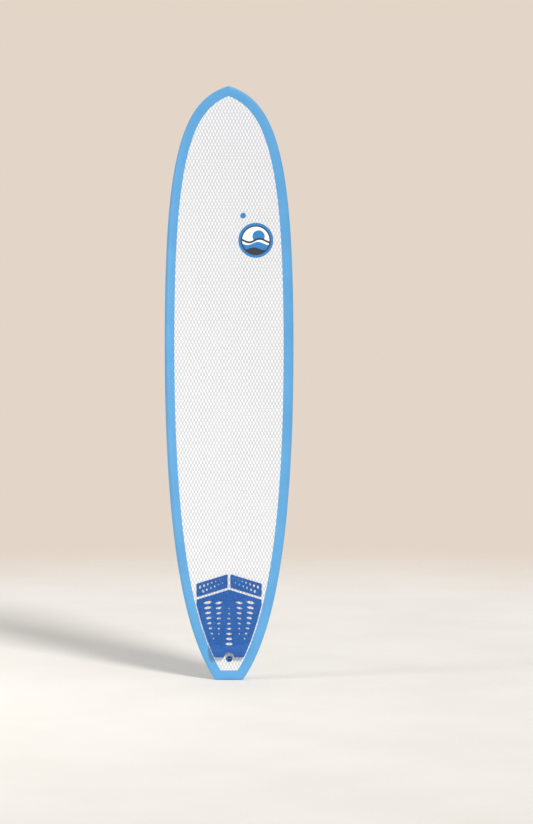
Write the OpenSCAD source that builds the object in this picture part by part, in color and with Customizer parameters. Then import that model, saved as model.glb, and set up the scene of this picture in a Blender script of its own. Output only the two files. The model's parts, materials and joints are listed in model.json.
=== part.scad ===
// Nine foot soft-top longboard. It stands on its tail: +Z runs from tail to nose,
// the deck faces -Y, the bottom faces +Y, and +X is to the right of someone facing the deck.
// The origin is the middle of the flat end of the tail.

/* [Board] */
// Length from the tail's end to the nose tip
board_l = 2743; // [2200:1:3300]
// Width at the wide point
board_w = 597; // [480:1:720]
// Thickness on the centreline at the thickest point
board_t = 86; // [68:1:104]
// Thickness that the foil runs out to at the nose
nose_t = 22; // [18:1:30]
// Thickness that the foil runs out to at the tail
tail_t = 29; // [24:1:36]
// Height of the wide point above the tail
wide_z = 1532; // [1250:1:1850]
// Height of the thickest point above the tail
thick_z = 1400; // [1150:1:1700]
// Height of the flattest point of the bottom above the tail
flat_z = 1150; // [950:1:1400]
// Rise of the nose towards the deck
nose_rocker = 120; // [95:1:145]
// Rise of the tail towards the deck
tail_rocker = 62; // [50:1:75]

/* [Outline] */
// Half-breadth handle that rounds the nose
nose_round = 232; // [190:1:280]
// How far the tip stands ahead of a blunt nose
nose_point = 65; // [40:1:80]
// Fullness of the front half, as a Bezier handle
nose_full = 0.70; // [0.6:0.01:0.8]
// Fullness of the rear half, as a Bezier handle
tail_full = 0.58; // [0.5:0.01:0.7]
// Width of the squared tail, measured to its sharp corners
tail_w = 126; // [104:1:152]
// Radius of the tail's corners
tail_corner_r = 11; // [8:1:14]
// Angle of the sides where they reach the tail
tail_angle = 35; // [29:1:42]
// Length of the handle that draws the sides in to the tail
tail_draw = 250; // [200:1:300]

/* [Skins] */
// Width of the rail band, from the outline to the deck skin
band = 46; // [38:1:56]
// Thickness of the foam deck skin
skin_t = 5; // [4:0.1:6]
// Thickness of the foam rail band
rail_t = 5; // [4:0.1:6]
// Thickness of the slick bottom sheet
slick_t = 1.2; // [1:0.1:1.5]
// Thickness of each laminate sheet
laminate_t = 1; // [0.8:0.1:1.2]
// Height of the edge trim's top above the flat of the bottom
trim_h = 9; // [7.5:0.1:11]
// Rise of the bottom towards its edge
edge_rise = 3; // [2.4:0.1:3.6]
// Fall of the deck's dome at the outline, as a share of the thickness
dome = 0.30; // [0.25:0.01:0.36]
// Upright part of the rail, as a share of its height
rail_wall = 0.30; // [0.25:0.01:0.36]

/* [Stringers] */
// Thickness of each wooden stringer
stringer_t = 5; // [4:0.1:6]
// Distance of the side stringers from the centreline
stringer_x = 115; // [96:1:130]

/* [Centre fin box] */
// Height of the box's middle above the tail
fin_z = 275.5; // [250:0.5:320]
// Length of the box's flange
fin_l = 273; // [228:1:300]
// Width of the box's flange
fin_w = 23; // [20:0.5:27]
// Depth of the box below the bottom's surface
fin_depth = 27; // [23:0.5:28]
// Width of the fin slot
slot_w = 10; // [8.5:0.1:11]
// Width of the groove that the plate slides in
groove_w = 15; // [13:0.1:16]
// Height of that groove
groove_h = 3.4; // [3:0.1:4]
// Depth of the groove's roof below the bottom's surface
groove_depth = 16; // [14:0.1:17]
// Length of the sliding plate
plate_l = 19; // [16:0.5:23]
// Radius of the plate's screw
screw_r = 2; // [1.6:0.1:2.4]
// Length of the screw below its head
screw_l = 14; // [12:0.5:16]

/* [Side fin plugs] */
// Distance of each plug from the centreline
plug_x = 165.5; // [158:0.5:180]
// Height of each plug above the tail
plug_z = 469; // [440:1:520]
// Radius of each lobe
lobe_r = 19.5; // [17:0.1:21]
// Distance between the two lobes of a plug
lobe_pitch = 51; // [46:1:60]
// Width of the waist between the lobes
waist_w = 27; // [22:1:32]
// Depth of each plug
plug_depth = 20; // [17:0.5:23]
// Length of a tab slot
tab_l = 25; // [21:0.5:28]
// Width of a tab slot
tab_w = 7; // [6:0.1:8]
// Depth of a tab slot
tab_depth = 15; // [13:0.5:16]
// Radius of a grub screw
grub_r = 2.4; // [2:0.1:2.8]
// Length of a grub screw
grub_l = 6.5; // [5.5:0.1:7]

/* [Leash plug] */
// Height of the leash plug above the tail
leash_z = 99.5; // [96:0.5:104]
// Radius of its flange
leash_r = 14.8; // [13:0.1:16]
// Radius of its body
leash_body_r = 12; // [11:0.1:12.5]
// Radius of the cup inside it
cup_r = 9.5; // [8:0.1:9.6]
// Depth of the plug below the deck
leash_depth = 20; // [17:0.5:22]
// Radius of the cross pin
pin_r = 2; // [1.6:0.1:2.4]

/* [Tail pad] */
// Thickness of the pad
pad_t = 5; // [4:0.1:6]
// Width across the pad
pad_w = 302; // [252:1:320]
// Height of the main piece's point above the tail
pad_top = 422; // [400:1:440]
// Height of the pad's lower end above the tail
pad_end = 109; // [104:1:125]
// Gap between the pad and the edge of the deck skin
pad_gap = 5; // [4:0.1:6]
// Slope of the pad's edges across the deck
pad_angle = 17.5; // [15:0.5:21]
// Length of each front bar along the board
bar_l = 62; // [52:1:68]
// Gap between the front bars and the main piece
bar_gap = 12; // [10:1:15]
// Gap between the two front bars
split_gap = 13; // [11:1:16]
// Radius of the notch round the leash plug
notch_r = 23; // [19:0.5:27]
// Height of the kick above the pad
kick_h = 18; // [15:0.5:22]
// Length of the kick's flat top
kick_l = 24; // [20:0.5:29]
// Length of the kick's ramp
ramp_l = 28; // [23:0.5:34]
// Spacing of the rows of cut-outs
row_pitch = 24; // [22:0.5:25]

/* [Fits] */
// Gap round a plug or box in its pocket
fit_gap = 0.2; // [0.15:0.01:0.3]
// Gap round a turning screw or a sliding plate
run_gap = 0.1; // [0.08:0.01:0.12]

/* [Hidden] */
$fn = 48;

far = 400;              // reach of a cutter past what it cuts
end_h = 14;             // height of the origin above the bottom's edge at the tail
half_w = board_w / 2;
side_t = rail_t + laminate_t;       // depth of the rail's layers, and so the trim's width
top_t = skin_t + laminate_t;        // depth of the deck's layers
under_t = slick_t + laminate_t;     // depth of the bottom's layers
nose_n = 15;            // stations round the nose
side_n = 15;            // stations down the sides to the tail
cols = 5;               // columns between the centreline and the rail band
rail_n = 5;             // steps round the rail
trim_n = 4;             // steps round the edge trim
nose_p = 3;             // how late the nose rocker starts
tail_p = 2.5;           // how late the tail rocker starts
foil_p = 3;             // how late the foil thins

// ---- plan outline: points are [x, z], from the nose tip round to the tail's middle ----
function bez(p, u) = pow(1 - u, 3) * p[0] + 3 * u * pow(1 - u, 2) * p[1]
    + 3 * u * u * (1 - u) * p[2] + pow(u, 3) * p[3];
function bez_dir(p, u) = pow(1 - u, 2) * (p[1] - p[0]) + 2 * u * (1 - u) * (p[2] - p[1])
    + u * u * (p[3] - p[2]);
function unit(v) = v / norm(v);
function outward(v) = unit([-v[1], v[0]]);

side_dir = [sin(tail_angle), cos(tail_angle)];
side_out = [cos(tail_angle), -sin(tail_angle)];
corner = [tail_w / 2, 0];
corner_run = tail_corner_r * tan((90 - tail_angle) / 2);
tail_flat = tail_w / 2 - corner_run;

nose_curve = [
    [0, board_l],
    [nose_round, board_l - nose_point],
    [half_w, wide_z + nose_full * (board_l - wide_z)],
    [half_w, wide_z]
];
side_curve = [
    [half_w, wide_z],
    [half_w, wide_z * (1 - tail_full)],
    corner + tail_draw * side_dir,
    corner + corner_run * side_dir
];

// A point on the rounded tail corner, from the side (0) to the flat end (1)
function corner_at(v) = let (a = -tail_angle - (90 - tail_angle) * v)
    [tail_flat, tail_corner_r] + tail_corner_r * [cos(a), sin(a)];

// The inner edge of the rail band, one band's width in from the outline
function nose_in(u) = let (n = outward(bez_dir(nose_curve, u)), f = 1 - pow(1 - min(1, u / 0.2), 2))
    bez(nose_curve, u) - band * unit([n[0] * f, n[1]]);
function side_in(u) = bez(side_curve, u) - band * outward(bez_dir(side_curve, u));
inner_run = band * (1 - sin(tail_angle)) / cos(tail_angle);
inner_corner = corner - band * side_out + inner_run * side_dir;
lead = 4;               // spacing of the last stations before the inner corner
function find_u(z, lo, hi, n) = let (m = (lo + hi) / 2)
    n == 0 ? m : side_in(m)[1] > z ? find_u(z, m, hi, n - 1) : find_u(z, lo, m, n - 1);
last_u = find_u(inner_corner[1] + 2 * lead * side_dir[1], 0.5, 1, 24);
function late(u) = u - (1 - last_u) * pow(u, 6);
function nose_u(i) = pow(i / nose_n, 1.3);

outer_line = concat(
    [for (i = [0:nose_n]) bez(nose_curve, nose_u(i))],
    [for (i = [1:side_n]) bez(side_curve, i / side_n)],
    [corner_at(0.25), corner_at(0.5), corner_at(0.75), corner_at(1)],
    [for (m = [3:cols]) [tail_flat * (cols - m) / (cols - 2), 0]]
);
inner_line = concat(
    [[0, board_l - band]],
    [for (i = [1:nose_n]) nose_in(nose_u(i))],
    [for (i = [1:side_n]) side_in(late(i / side_n))],
    [inner_corner + lead * side_dir],
    [for (m = [0:cols]) [inner_corner[0] * (cols - m) / cols, band]]
);
rows = nose_n + side_n + 2;         // the last row of the deck, at the tail
ring = rows + cols;                 // the last station of the band, at the tail's middle

// ---- heights: h is measured from the bottom's centreline towards the deck ----
function rocker(z) = z > flat_z
    ? nose_rocker * pow((z - flat_z) / (board_l - flat_z), nose_p)
    : tail_rocker * pow((flat_z - z) / flat_z, tail_p);
function thick(z) = z > thick_z
    ? board_t - (board_t - nose_t) * pow((z - thick_z) / (board_l - thick_z), foil_p)
    : board_t - (board_t - tail_t) * pow((thick_z - z) / thick_z, foil_p);
function bottom_y(z) = tail_rocker + end_h - rocker(z);
function deck_y(z) = bottom_y(z) - thick(z);
function at(plan, h) = [plan[0], bottom_y(plan[1]) - h, plan[1]];

// Deck point at row i, column k, sunk by s; bottom point raised by s
function deck_h(i, k) = let (q = inner_line[i], e = q[0] / (q[0] + band))
    thick(q[1]) * (1 - dome * pow(e * k / cols, 2));
function deck_at(i, k, s) = let (q = inner_line[i]) at([q[0] * k / cols, q[1]], deck_h(i, k) - s);
function base_at(i, k, s) = let (q = inner_line[i]) at([q[0] * k / cols, q[1]], s);

// A point of the band at station j, distance d in from the outline, at height h
function band_at(j, d, h) = at(
    inner_line[j] + (outer_line[j] - inner_line[j]) * (1 - d / band), h);
function edge_h(d, s) = edge_rise * pow(1 - d / band, 2) + s;
function rim_h(j) = j <= rows ? deck_h(j, cols) : deck_h(rows, cols - (j - rows));
function fall(j) = let (q = inner_line[j], n = (outer_line[j] - q) / band)
    (thick(q[1] + 1) - thick(q[1] - 1)) / 2 * n[1]
    - 2 * dome * thick(q[1]) * q[0] / pow(q[0] + band, 2) * n[0];

// The rail's section at station j, with its side sunk by a and its top by s
function rail_curve(j, a, s) = let (
    h = rim_h(j) - s,
    w = trim_h + rail_wall * (rim_h(j) - trim_h),
    reach = (band - a) / 2
) [[band, h], [band - reach, h + fall(j) * reach], [a, w + 0.6 * (h - w)], [a, w]];
function rail_at(j, a, s) = let (c = rail_curve(j, a, s)) concat(
    [for (e = [0:rail_n]) let (p = bez(c, e / rail_n)) band_at(j, p[0], p[1])],
    [band_at(j, a, trim_h)]
);

// ---- closed solids from sheets of points ----
// Two solids that meet share one sheet, one of them flipped, so their facets match exactly
function sheet(g) = [
    for (i = [0:len(g) - 2], k = [0:len(g[0]) - 2])
    each [[g[i][k], g[i + 1][k], g[i + 1][k + 1]], [g[i][k], g[i + 1][k + 1], g[i][k + 1]]]
];
function flip(t) = [for (f = t) [f[2], f[1], f[0]]];
function mirrored(t) = [for (f = flip(t)) [for (p = f) [p[0] == 0 ? 0 : -p[0], p[1], p[2]]]];
function real(t) = [for (f = t) if (f[0] != f[1] && f[1] != f[2] && f[2] != f[0]) f];
function deck_grid(first, s) = [for (i = [first:rows]) [for (k = [0:cols]) deck_at(i, k, s)]];
function base_grid(s) = [for (i = [0:rows]) [for (k = [0:cols]) base_at(i, k, s)]];
function rail_grid(a, s) = [for (j = [0:ring]) rail_at(j, a, s)];
function rim_grid(s) = [for (j = [0:ring])
    [for (d = [side_t, (side_t + band) / 2, band]) band_at(j, d, edge_h(d, s))]];

// Strips along the band: level at the trim's top, and upright at depth d
function ledge(d0, d1) = sheet([for (j = [0:ring]) [for (d = [d0, d1]) band_at(j, d, trim_h)]]);
function wall(d, high, low) = sheet([for (j = [0:ring]) [for (h = [high, low]) band_at(j, d, h)]]);

module solid(half) {
    t = real(concat(half, mirrored(half)));
    polyhedron([for (f = t) each f], [for (i = [0:len(t) - 1]) [3 * i + 2, 3 * i + 1, 3 * i]]);
}

// Everything inside the skins: the block that the cores, stringers and inserts are cut from
module blank() {
    solid(concat(
        sheet(deck_grid(0, top_t)),
        sheet(rail_grid(side_t, top_t)),
        wall(side_t, trim_h, edge_h(side_t, under_t)),
        sheet(rim_grid(under_t)),
        flip(sheet(base_grid(under_t)))
    ));
}

// A layer that follows the deck from one row to the tail, between two sinks
module deck_layer(first, top, under) {
    rim = [for (i = [first:rows]) [deck_at(i, cols, top), deck_at(i, cols, under)]];
    tail = [for (k = [0:cols]) [deck_at(rows, k, top), deck_at(rows, k, under)]];
    front = [for (k = [0:cols]) [deck_at(first, k, top), deck_at(first, k, under)]];
    solid(concat(
        sheet(deck_grid(first, top)),
        flip(sheet(deck_grid(first, under))),
        sheet(rim),
        flip(sheet(tail)),
        first > 0 ? sheet(front) : []
    ));
}

// A sheet that follows the bottom, between two heights
module base_layer(low, high) {
    solid(concat(
        sheet(base_grid(high)),
        flip(sheet(rim_grid(high))),
        wall(side_t, edge_h(side_t, high), edge_h(side_t, low)),
        sheet(rim_grid(low)),
        flip(sheet(base_grid(low)))
    ));
}

// ---- placing ----
module slab(x0, x1) {
    translate([x0, -far, -far])
    cube([x1 - x0, 2 * far, board_l + 2 * far]);
}
// Local frames whose +Y leaves the bottom and whose origin is on its surface
function slope_at(z, run) = atan((bottom_y(z + run / 2) - bottom_y(z - run / 2)) / run);
module on_bottom(x, z, run) {
    translate([x, bottom_y(z), z])
    rotate([-slope_at(z, run), 0, 0])
    children();
}
module block(w, l, y0, y1) {
    translate([-w / 2, y0, -l / 2])
    cube([w, y1 - y0, l]);
}
module post(r, y0, y1) {
    translate([0, y0, 0])
    rotate([-90, 0, 0])
    cylinder(r = r, h = y1 - y0);
}

// ---- centre fin box ----
fin_proud = 0.2;        // how far the flange stands out at its middle
flange_t = 3;
box_w = fin_w - 3;      // width of the box below its flange
box_l = fin_l - 6;
slot_l = box_l - 16;
slot_depth = fin_depth - 3;
insert_rim = 12;        // hard foam left round a box or plug
plate_t = groove_h - 4 * run_gap;
plate_w = groove_w - 8 * run_gap;
plate_low = plate_l / 2 - slot_l / 2 + 0.5;
head_r = 1.8 * screw_r;
head_h = 2.6;
module fin_shape(gap) {
    block(fin_w + 2 * gap, fin_l + 2 * gap, fin_proud - flange_t - gap, fin_proud);
    block(box_w + 2 * gap, box_l + 2 * gap, -fin_depth - gap, fin_proud);
}
module fin_pocket() {
    on_bottom(0, fin_z, fin_l) {
        fin_shape(fit_gap);
        block(fin_w + 2 * fit_gap, fin_l + 2 * fit_gap, 0, far / 10);
    }
}
module fin_block() {
    on_bottom(0, fin_z, fin_l)
    block(box_w + 2 * insert_rim, box_l + 2 * insert_rim, -fin_depth - 4, far / 10);
}
module at_plate() {
    on_bottom(0, fin_z, fin_l)
    translate([0, -groove_depth - groove_h / 2, plate_low])
    children();
}

// ---- side fin plugs ----
plug_proud = 0.3;
plug_flange_t = 2;
grub_lean = 40;         // lean of the grub screws from the plug's axis
grub_reach = 9;         // depth at which a grub screw meets the tab slot
grub_back = 1.5;        // how far its tip waits behind the slot's wall
key_r = grub_r / 2;     // corner radius of the screw's hexagon socket
module plug_outline(r, w, y0, y1) {
    for (s = [-1, 1]) {
        translate([0, 0, s * lobe_pitch / 2])
        post(r, y0, y1);
    }
    block(w, lobe_pitch, y0, y1);
}
module plug_shape(gap) {
    plug_outline(lobe_r + gap, waist_w + 2 * gap, plug_proud - plug_flange_t - gap, plug_proud);
    plug_outline(lobe_r - 2 + gap, waist_w - 4 + 2 * gap, -plug_depth - gap, plug_proud);
}
module at_plug(side) {
    on_bottom(side * plug_x, plug_z, 2 * lobe_pitch)
    children();
}
module plug_pocket(side) {
    at_plug(side) {
        plug_shape(fit_gap);
        plug_outline(lobe_r + fit_gap, waist_w + 2 * fit_gap, 0, far / 10);
    }
}
module plug_block(side) {
    at_plug(side)
    plug_outline(lobe_r + 6, waist_w + 12, -plug_depth - 4, far / 10);
}
// The grub screw's own frame: origin where its axis meets the slot's wall, +Y out of the plug
module at_grub(side, end) {
    at_plug(side)
    translate([-side * tab_w / 2, -grub_reach, end * lobe_pitch / 2])
    rotate([0, 0, side * grub_lean])
    children();
}
module side_plug(side) {
    color("midnightblue")
    difference() {
        at_plug(side)
        plug_shape(0);
        at_plug(side)
        for (end = [-1, 1]) {
            translate([0, 0, end * lobe_pitch / 2])
            block(tab_w, tab_l, -tab_depth, far / 10);
        }
        for (end = [-1, 1]) {
            at_grub(side, end)
            post(grub_r + run_gap, -tab_w / 2, far / 10);
        }
    }
}
module grub(side, end) {
    color("silver")
    at_grub(side, end)
    difference() {
        post(grub_r, grub_back, grub_back + grub_l);
        translate([0, grub_back + grub_l - 2.5, 0])
        rotate([-90, 0, 0])
        cylinder(r = key_r, h = 5, $fn = 6);
    }
}

// ---- leash plug ----
leash_proud = 0.8;
leash_flange_t = 2.5;
pin_depth = 6;
leash_block_r = 22;
module at_leash() {
    translate([0, deck_y(leash_z), leash_z])
    mirror([0, 1, 0])
    children();
}
module leash_shape(gap) {
    post(leash_r + gap, leash_proud - leash_flange_t - gap, leash_proud);
    post(leash_body_r + gap, -leash_depth - gap, leash_proud);
}
module leash_pocket() {
    at_leash() {
        leash_shape(fit_gap);
        post(leash_r + fit_gap, 0, far / 10);
    }
}
module leash_block() {
    at_leash()
    post(leash_block_r, -leash_depth - 4 - top_t, far / 10);
}
module cross_pin(r, l) {
    at_leash()
    translate([-l / 2, -pin_depth, 0])
    rotate([0, 90, 0])
    cylinder(r = r, h = l);
}

// ---- tail pad ----
first_row = len([for (q = inner_line) if (q[1] > pad_top + bar_l + bar_gap + 90) q]);
field = concat(
    [for (j = [0:ring]) inner_line[j]],
    [for (j = [ring - 1:-1:1]) [-inner_line[j][0], inner_line[j][1]]]
);
pad_corner_r = 4;
// The area under a chevron whose point is at height z
module below(z) {
    polygon([[0, z], [far, z - far * tan(pad_angle)], [far, -far], [-far, -far],
        [-far, z - far * tan(pad_angle)]]);
}
module pad_area() {
    intersection() {
        offset(delta = -pad_gap)
        polygon(field);
        translate([-pad_w / 2, 0])
        square([pad_w, board_l]);
    }
}
module rounded() {
    offset(r = pad_corner_r, $fn = 24)
    offset(delta = -pad_corner_r)
    children();
}
module stand_up() {
    rotate([90, 0, 0])
    linear_extrude(height = 2 * far, center = true)
    children();
}
// A leaf-shaped hole, w wide and h high, from two equal arcs
module leaf(x, z, w, h, lean) {
    r = (w * w + h * h) / (4 * h);
    translate([x, deck_y(z), z])
    rotate([0, lean, 0])
    intersection() {
        translate([0, 0, r - h / 2])
        post(r, -far / 10, far / 10);
        translate([0, 0, h / 2 - r])
        post(r, -far / 10, far / 10);
    }
}
// An upright rounded hole, w wide and h high
module oval(x, z, w, h) {
    translate([x, deck_y(z), z]) {
        for (s = [-1, 1]) {
            translate([0, 0, s * (h - w) / 2])
            post(w / 2, -far / 10, far / 10);
        }
        block(w, max(0.01, h - w), -far / 10, far / 10);
    }
}
leaf_lean = 12;         // lean of the side leaves, rising towards the centreline
module leaves() {
    for (n = [0:7]) {
        leaf(0, pad_top - 87 - n * (row_pitch - 0.4), 7 + 4.9 * n, 7 + 0.9 * n, 0);
    }
    for (s = [-1, 1], n = [0:7]) {
        leaf(s * (99.6 - 0.55 * n * n), pad_top - 60 - n * row_pitch, 44 - 5 * n, 14 - 0.75 * n,
            s * leaf_lean);
    }
    for (s = [-1, 1], n = [0:6]) {
        leaf(s * 47.5, pad_top - 61 - n * row_pitch, 38 - 4.8 * n, 12 - 0.8 * n, s * leaf_lean);
    }
}
bar_low = pad_top + bar_gap;
bar_high = bar_low + bar_l;
module bar_holes(side) {
    for (n = [0:6]) {
        oval(side * (25 + 18.2 * n), bar_high - 20 - 7.1 * n, 5.3 + 0.8 * n, 5.4 + 1.8 * n);
    }
    for (n = [0:5]) {
        oval(side * (30 + 18 * n), bar_high - 42 - 8 * n, 6.2 + 0.8 * n, 7 + 1.6 * n);
    }
}
module pad_bar(side) {
    color("royalblue")
    difference() {
        intersection() {
            deck_layer(first_row, -pad_t, 0);
            stand_up()
            rounded()
            intersection() {
                pad_area();
                difference() {
                    below(bar_high);
                    below(bar_low);
                }
                translate([side > 0 ? split_gap / 2 : -far, 0])
                square([far - split_gap / 2, far * 2]);
            }
        }
        bar_holes(side);
    }
}
kick_y = deck_y(pad_end + kick_l / 2) - pad_t - kick_h;
ramp_z = pad_end + kick_l + ramp_l;
ramp_y = deck_y(ramp_z) - pad_t;
ramp_rate = (ramp_y - kick_y) / ramp_l;
module kick_shape() {
    rotate([90, 0, 90])
    linear_extrude(height = pad_w, center = true)
    polygon([
        [kick_y, pad_end - 10],
        [kick_y, pad_end + kick_l],
        [ramp_y + 12 * ramp_rate, ramp_z + 12],
        [far / 10, ramp_z + 12],
        [far / 10, pad_end - 10]
    ]);
}

// ---- nodes ----
module core_left_outer() {
    color("ivory")
    difference() {
        intersection() {
            blank();
            slab(-far, -stringer_x - stringer_t / 2);
        }
        plug_block(-1);
    }
}
module core_left_inner() {
    color("ivory")
    difference() {
        intersection() {
            blank();
            slab(-stringer_x + stringer_t / 2, -stringer_t / 2);
        }
        fin_block();
        leash_block();
    }
}
module core_right_inner() {
    color("ivory")
    difference() {
        intersection() {
            blank();
            slab(stringer_t / 2, stringer_x - stringer_t / 2);
        }
        fin_block();
        leash_block();
    }
}
module core_right_outer() {
    color("ivory")
    difference() {
        intersection() {
            blank();
            slab(stringer_x + stringer_t / 2, far);
        }
        plug_block(1);
    }
}
module stringer(x) {
    color("burlywood")
    intersection() {
        blank();
        slab(x - stringer_t / 2, x + stringer_t / 2);
    }
}
module stringer_left() {
    stringer(-stringer_x);
}
module stringer_right() {
    stringer(stringer_x);
}
module stringer_center() {
    color("burlywood")
    difference() {
        stringer(0);
        fin_block();
        leash_block();
    }
}
module fin_insert() {
    color("khaki")
    difference() {
        intersection() {
            blank();
            fin_block();
        }
        fin_pocket();
    }
}
module plug_insert(side) {
    color("khaki")
    difference() {
        intersection() {
            blank();
            plug_block(side);
        }
        plug_pocket(side);
    }
}
module plug_insert_left() {
    plug_insert(-1);
}
module plug_insert_right() {
    plug_insert(1);
}
module leash_insert() {
    color("khaki")
    difference() {
        intersection() {
            blank();
            leash_block();
        }
        leash_pocket();
    }
}
module deck_laminate() {
    color("gainsboro")
    difference() {
        solid(concat(
            sheet(deck_grid(0, skin_t)),
            sheet(rail_grid(rail_t, skin_t)),
            ledge(rail_t, side_t),
            flip(sheet(rail_grid(side_t, top_t))),
            flip(sheet(deck_grid(0, top_t)))
        ));
        leash_pocket();
    }
}
module bottom_laminate() {
    color("gainsboro")
    difference() {
        base_layer(slick_t, under_t);
        fin_pocket();
        plug_pocket(-1);
        plug_pocket(1);
    }
}
module deck_skin() {
    color("white")
    difference() {
        deck_layer(0, 0, skin_t);
        leash_pocket();
    }
}
module rail_band() {
    color("lightskyblue")
    solid(concat(
        sheet(rail_grid(0, 0)),
        ledge(0, rail_t),
        flip(sheet(rail_grid(rail_t, skin_t))),
        sheet([for (j = [0:ring]) [for (s = [skin_t, 0]) band_at(j, band, rim_h(j) - s)]])
    ));
}
module bottom_slick() {
    color("cornflowerblue")
    difference() {
        base_layer(0, slick_t);
        fin_pocket();
        plug_pocket(-1);
        plug_pocket(1);
    }
}
module edge_trim() {
    low = edge_h(side_t, 0);
    color("navy")
    solid(concat(
        flip(wall(side_t, trim_h, low)),
        flip(ledge(rail_t, side_t)),
        flip(ledge(0, rail_t)),
        sheet([for (j = [0:ring]) [for (e = [0:trim_n]) let (a = 90 * e / trim_n)
            band_at(j, side_t * (1 - cos(a)), trim_h - (trim_h - low) * sin(a))]])
    ));
}
module pad_bar_left() {
    pad_bar(-1);
}
module pad_bar_right() {
    pad_bar(1);
}
module pad_main() {
    color("royalblue")
    difference() {
        intersection() {
            union() {
                deck_layer(first_row, -pad_t, 0);
                intersection() {
                    deck_layer(first_row, -far / 5, 0);
                    kick_shape();
                }
            }
            stand_up()
            rounded()
            intersection() {
                pad_area();
                below(pad_top);
                translate([-far, pad_end])
                square([2 * far, 2 * far]);
            }
        }
        leaves();
        translate([0, deck_y(pad_end), pad_end])
        post(notch_r, -far / 5, far / 5);
    }
}
module fin_box() {
    color("midnightblue")
    on_bottom(0, fin_z, fin_l)
    difference() {
        fin_shape(0);
        block(slot_w, slot_l, -slot_depth, far / 10);
        block(groove_w, slot_l, -groove_depth - groove_h, -groove_depth);
    }
}
module fin_plate() {
    color("goldenrod")
    at_plate()
    difference() {
        block(plate_w, plate_l, -plate_t / 2, plate_t / 2);
        post(screw_r + run_gap, -groove_h, groove_h);
    }
}
module fin_screw() {
    head_low = screw_l - plate_t / 2;
    color("silver")
    at_plate()
    difference() {
        union() {
            post(screw_r, -plate_t / 2, head_low);
            post(head_r, head_low, head_low + head_h);
        }
        block(1.2, 2 * head_r + 1, head_low + head_h - 1.2, head_low + 2 * head_h);
    }
}
module side_plug_left() {
    side_plug(-1);
}
module side_plug_right() {
    side_plug(1);
}
module grub_left_front() {
    grub(-1, 1);
}
module grub_left_rear() {
    grub(-1, -1);
}
module grub_right_front() {
    grub(1, 1);
}
module grub_right_rear() {
    grub(1, -1);
}
module leash_plug() {
    color("mediumblue")
    difference() {
        at_leash()
        difference() {
            leash_shape(0);
            post(cup_r, 2.5 - leash_depth, far / 10);
        }
        cross_pin(pin_r + run_gap, 2 * leash_body_r - 1);
    }
}
module leash_pin() {
    color("silver")
    cross_pin(pin_r, 2 * leash_body_r - 1.4);
}

core_left_outer();
core_left_inner();
core_right_inner();
core_right_outer();
stringer_left();
stringer_center();
stringer_right();
fin_insert();
plug_insert_left();
plug_insert_right();
leash_insert();
deck_laminate();
bottom_laminate();
deck_skin();
rail_band();
bottom_slick();
edge_trim();
pad_bar_left();
pad_bar_right();
pad_main();
fin_box();
fin_plate();
fin_screw();
side_plug_left();
side_plug_right();
grub_left_front();
grub_left_rear();
grub_right_front();
grub_right_rear();
leash_plug();
leash_pin();
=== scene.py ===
# %% [markdown]
# # A nine foot soft-top longboard
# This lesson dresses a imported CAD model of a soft-top surfboard. The board stands on its tail:
# Z runs from the tail to the nose, the deck faces -Y and the bottom faces +Y.
# The CAD model fixes every size. Each visible skin is remodelled here with finer faces
# on the same surfaces, and every piece gets a finish that is built from nodes.

import json
import math

import bpy
from mathutils import Matrix, Vector

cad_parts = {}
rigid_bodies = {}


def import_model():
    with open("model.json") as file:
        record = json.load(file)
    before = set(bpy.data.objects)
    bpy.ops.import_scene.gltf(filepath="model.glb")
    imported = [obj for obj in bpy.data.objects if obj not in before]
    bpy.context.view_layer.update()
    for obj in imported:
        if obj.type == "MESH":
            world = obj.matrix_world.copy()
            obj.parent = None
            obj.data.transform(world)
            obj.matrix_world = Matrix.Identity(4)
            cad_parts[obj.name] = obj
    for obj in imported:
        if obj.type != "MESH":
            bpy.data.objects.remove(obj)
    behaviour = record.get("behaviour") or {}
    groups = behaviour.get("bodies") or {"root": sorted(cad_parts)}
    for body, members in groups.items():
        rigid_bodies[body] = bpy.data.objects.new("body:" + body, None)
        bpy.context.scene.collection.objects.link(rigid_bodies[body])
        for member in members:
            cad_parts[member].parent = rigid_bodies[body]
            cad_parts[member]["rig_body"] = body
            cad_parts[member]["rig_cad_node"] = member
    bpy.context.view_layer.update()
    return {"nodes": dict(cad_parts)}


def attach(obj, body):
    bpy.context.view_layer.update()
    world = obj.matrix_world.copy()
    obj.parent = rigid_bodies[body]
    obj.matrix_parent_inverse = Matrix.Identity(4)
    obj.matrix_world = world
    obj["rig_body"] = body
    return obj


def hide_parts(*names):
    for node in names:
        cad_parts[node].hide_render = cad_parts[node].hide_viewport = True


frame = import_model()
nodes = frame["nodes"]

# %% [markdown]
# ## The board's sizes
# The skins follow the same curves as the CAD model, so the same sizes are needed, in metres.
# They could be read back from the CAD faces, but those faces are coarse: the curves themselves
# give a smooth surface at any fineness, and the pieces then still meet.

# %% Sizes
BOARD_L, BOARD_W = 2.743, 0.597          # length and width
BOARD_T, NOSE_T, TAIL_T = 0.086, 0.022, 0.029
WIDE_Z, THICK_Z, FLAT_Z = 1.532, 1.400, 1.150
NOSE_ROCKER, TAIL_ROCKER, END_H = 0.120, 0.062, 0.014
NOSE_ROUND, NOSE_POINT, NOSE_FULL, TAIL_FULL = 0.232, 0.065, 0.70, 0.58
TAIL_W, CORNER_R, TAIL_ANGLE, TAIL_DRAW = 0.126, 0.011, math.radians(35), 0.250
BAND, SKIN_T, RAIL_T, SLICK_T, LAMINATE_T = 0.046, 0.005, 0.005, 0.0012, 0.001
TRIM_H, EDGE_RISE, DOME, RAIL_WALL = 0.009, 0.003, 0.30, 0.30
SIDE_T = RAIL_T + LAMINATE_T             # how far in the edge trim reaches
print("board", BOARD_L, "m long,", BOARD_W, "m wide")

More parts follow.
